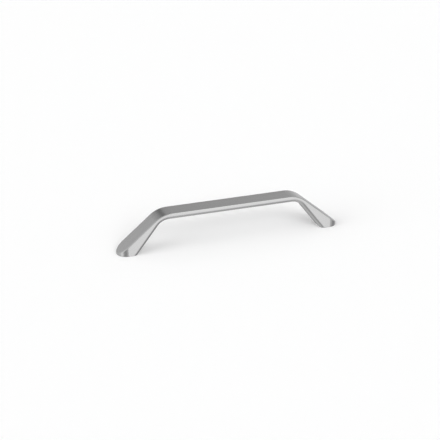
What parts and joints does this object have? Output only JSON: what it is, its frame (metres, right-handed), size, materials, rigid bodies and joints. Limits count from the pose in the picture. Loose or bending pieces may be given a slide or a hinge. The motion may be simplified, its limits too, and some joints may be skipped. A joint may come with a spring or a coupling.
{
  "type": "bail pull",
  "caption": "Rigid one-piece pull: a flat bar carried on two sloping wedge legs with half-round feet, each foot tapped for a screw from behind.",
  "frame": {"origin": "on the surface that the pull is screwed to, midway between the two screw holes", "axes": "+X along the bar, +Y across it, +Z away from the fixing surface towards the hand"},
  "size_m": [0.178, 0.015, 0.03],
  "materials": {
    "satin_nickel": "zinc die casting, brushed along its length and plated satin nickel, neutral grey"
  },
  "bodies": {
    "root": {"pull": "satin_nickel"}
  },
  "joints": []
}
